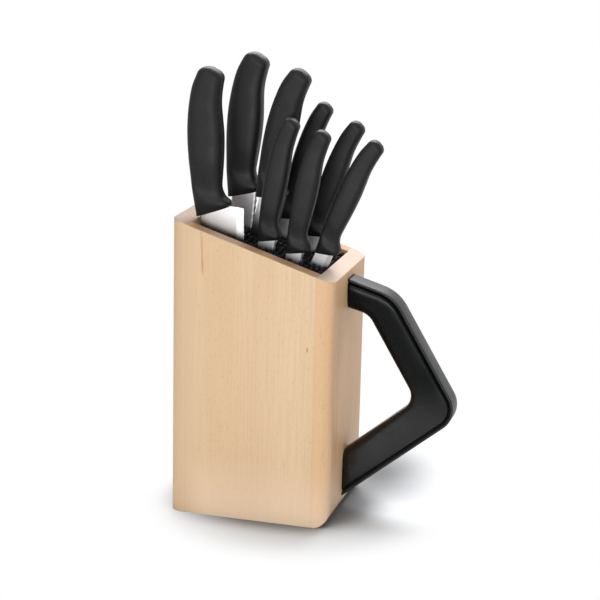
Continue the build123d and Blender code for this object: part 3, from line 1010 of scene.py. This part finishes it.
def blade_mesh(size, form, length, width):
    """Rows across the blade from its handle to its tip, each a thin wedge, and its tang."""
    handle_length, handle_width = handle_sizes[size][:2]
    tip_share, spine_end, edge_end = blade_forms[form]
    spine, thickness = spine_inset[size], blade_thickness[size]
    edge = spine + width
    covered = min(edge, bolster_width * handle_width)
    covered_top = covered * bolster_slope + blade_in_handle
    heel = heel_rise * handle_width if form == "heeled" else covered_top
    waves_top = heel - scallop_pitch
    waves = max(1, round((waves_top + edge_end * length) / scallop_pitch))
    wave_length = (waves_top + edge_end * length) / waves

    def top_at(across):
        if across <= covered:
            return across * bolster_slope + blade_in_handle
        return covered_top + (heel - covered_top) * (across - covered) / (edge - covered)

    def wave_at(height):
        place = (waves_top - height) / wave_length
        if form != "wavy" or not 0 <= place <= waves:
            return 0.0
        return scallop_depth * (1 - (2 * (place % 1.0) - 1) ** 2)

    step_length = wave_length / rows_per_wave if form == "wavy" else length / plain_rows
    rows = [index * step_length for index in range(int((1 - tip_reach) * length / step_length))]
    rows += [length * (1 - tip_reach * (1 - step / tip_rows) ** 2) for step in range(tip_rows + 1)]
    points = []
    for down in rows:
        slant = 1 - eased(0.0, top_slant * length, down)
        left = spine + arc_inset(down - spine_end * length, tip_share * width, (1 - spine_end) * length)
        right = edge - arc_inset(down - edge_end * length, (1 - tip_share) * width, (1 - edge_end) * length)
        across = max(right - left, 0.0)
        grind = min(grind_width[form], 0.6 * across)
        scallop = min(wave_at(slant * heel - down), 0.5 * grind)
        half = thickness / 2 * min(1.0, tip_left + across / thinning_width)
        stops = [
            (0.0, spine_left * half),
            (min(spine_edge, 0.1 * across), half),
            (0.5 * (across - grind), half),
            (across - grind, shoulder_left * half),
            (across - scallop, cut_edge / 2),
        ]
        ring = [(left + x, z) for x, z in stops] + [(left + x, -z) for x, z in reversed(stops)]
        points += [(x, slant * top_at(x) - down, z) for x, z in ring]
    faces = closed_bar(len(rows), len(ring))

    middle, half_tang = handle_middle * handle_width, tang_width_share * handle_width / 2
    sides = middle - half_tang, middle + half_tang
    root, top = sides[1] * bolster_slope + tang_rise, tang_share * handle_length
    start = len(points)
    for z in (-thickness / 2, thickness / 2):
        points += [(sides[0], root, z), (sides[1], root, z), (sides[1], top, z), (sides[0], top, z)]
    tang_faces = walls_between(2, 4) + [(0, 1, 2, 3), (4, 5, 6, 7)]
    faces += [tuple(start + corner for corner in face) for face in tang_faces]
    return points, faces


steel_tone = (0.88, 0.88, 0.89)
steel_line_tone = (0.80, 0.81, 0.82)  # along its finest lines
painted_reflection_band_tone = (0.46, 0.47, 0.49)  # painted reflections, in soft bands down the blade
painted_steel_shade_tone = (0.03, 0.03, 0.03)  # painted shade, where another piece is close below
bevel_blur = 0.0002
painted_reflection_fade = (-0.060, -0.030)  # heights over which the painted reflection bands fade towards the handle


def blade_steel(name, bevel_reach, bevel_tone, painted_shade_reach):
    """Stainless steel with fine grinding lines across the blade, a duller bevel, painted reflections in
    bands and painted shade where another piece is close below.
    """
    material, tree, shader = new_material(name)
    spread = new_node(tree, "ShaderNodeUVMap", uv_map="along_blade").outputs[0]
    at = parts_of(tree, spread)
    lines = stretched_noise(tree, spread, (70, 2200, 1), 2.0)
    clouds = stretched_noise(tree, spread, (40, 40, 1), 2.0)
    # Painted reflections: soft bands down the blade, fading towards the handle.
    bands = ranged(tree, stretched_noise(tree, spread, (10, 30, 1), 1.0), 0.35, 0.65)
    far_down = ranged(tree, at["Y"], *painted_reflection_fade, 0.55, 0.0)
    bevel = ranged(tree, at["X"], -bevel_reach - bevel_blur, -bevel_reach + bevel_blur)
    colour = blended(tree, lines, steel_line_tone, steel_tone)
    colour = layered(tree, colour, [(bands, far_down, painted_reflection_band_tone), (bevel, 1.0, bevel_tone)])

    # Painted shade: the steel darkens where another piece lies close below it.
    facing = new_node(tree, "ShaderNodeNewGeometry").outputs["Normal"]
    lowered = feed(tree, new_node(tree, "ShaderNodeVectorMath", operation="ADD"), facing, (0, 0, -1.0))
    clear = open_share(tree, (0.25, 0.80), Distance=painted_shade_reach, Normal=lowered.outputs[0])
    sheen = ranged(tree, lines, 0.3, 0.7, 0.27, 0.29)
    for share, rise in ((clouds, 0.05), (bevel, 0.12)):
        sheen = number(tree, "ADD", sheen, number(tree, "MULTIPLY", share, rise))
    feed(tree, shader, Base_Color=blended(tree, clear, painted_steel_shade_tone, colour), Roughness=sheen)
    feed(tree, shader, Metallic=0.7, Anisotropic=0.3)
    add_relief(tree, shader, lines, 0.01, 0.00001)
    return material


def spread_along(piece, place, edge):
    """Gives a blade a UV map in metres: across it from its cutting edge, and along it."""
    inverse = place.inverted()
    layer = piece.data.uv_layers.new(name="along_blade")
    for loop in piece.data.loops:
        local = inverse @ piece.data.vertices[loop.vertex_index].co
        layer.data[loop.index].uv = (local.x - edge, local.y)


# Reach and tone of the bevel, and how close another piece must be to bring painted shade onto the blade. The
# carving knife stands between the others, so its steel has a darker bevel and painted shade reaching far, as
# if little light came down to its blade.
steels = {
    "heeled": blade_steel("heeled_blade_steel", 0.0012, (0.62, 0.63, 0.64), 0.012),
    "pointed": blade_steel("pointed_blade_steel", 0.0040, (0.50, 0.51, 0.52), 0.005),
    "wavy": blade_steel("wavy_blade_steel", 0.0020, (0.16, 0.16, 0.165), 0.005),
    "carving_knife": blade_steel("painted_shade_blade_steel", 0.0040, (0.16, 0.16, 0.165), 0.030),
}
for name, (size, form) in knife_forms.items():
    place = knife_place(name)
    across = place.col[0].to_3d()
    span = [v.co.dot(across) for v in frame["nodes"][name + "_blade"].data.vertices]
    width = max(span) - min(span)
    points, faces = blade_mesh(size, form, joints[name]["range_m"][1] - draw_margin, width)
    steel = steels.get(name, steels[form])
    blade = new_piece(name + "_steel", [place @ Vector(p) for p in points], faces, steel, smooth=False)
    spread_along(blade, place, spine_inset[size] + width)
    points, faces = handle_mesh(handle_sizes[size])
    grip = new_piece(name + "_grip", [place @ Vector(p) for p in points], faces, knife_black)
    for piece, node, finish in ((blade, "_blade", "blade_steel"), (grip, "_handle", "knife_handle_plastic")):
        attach(piece, name)
        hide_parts(name + node)
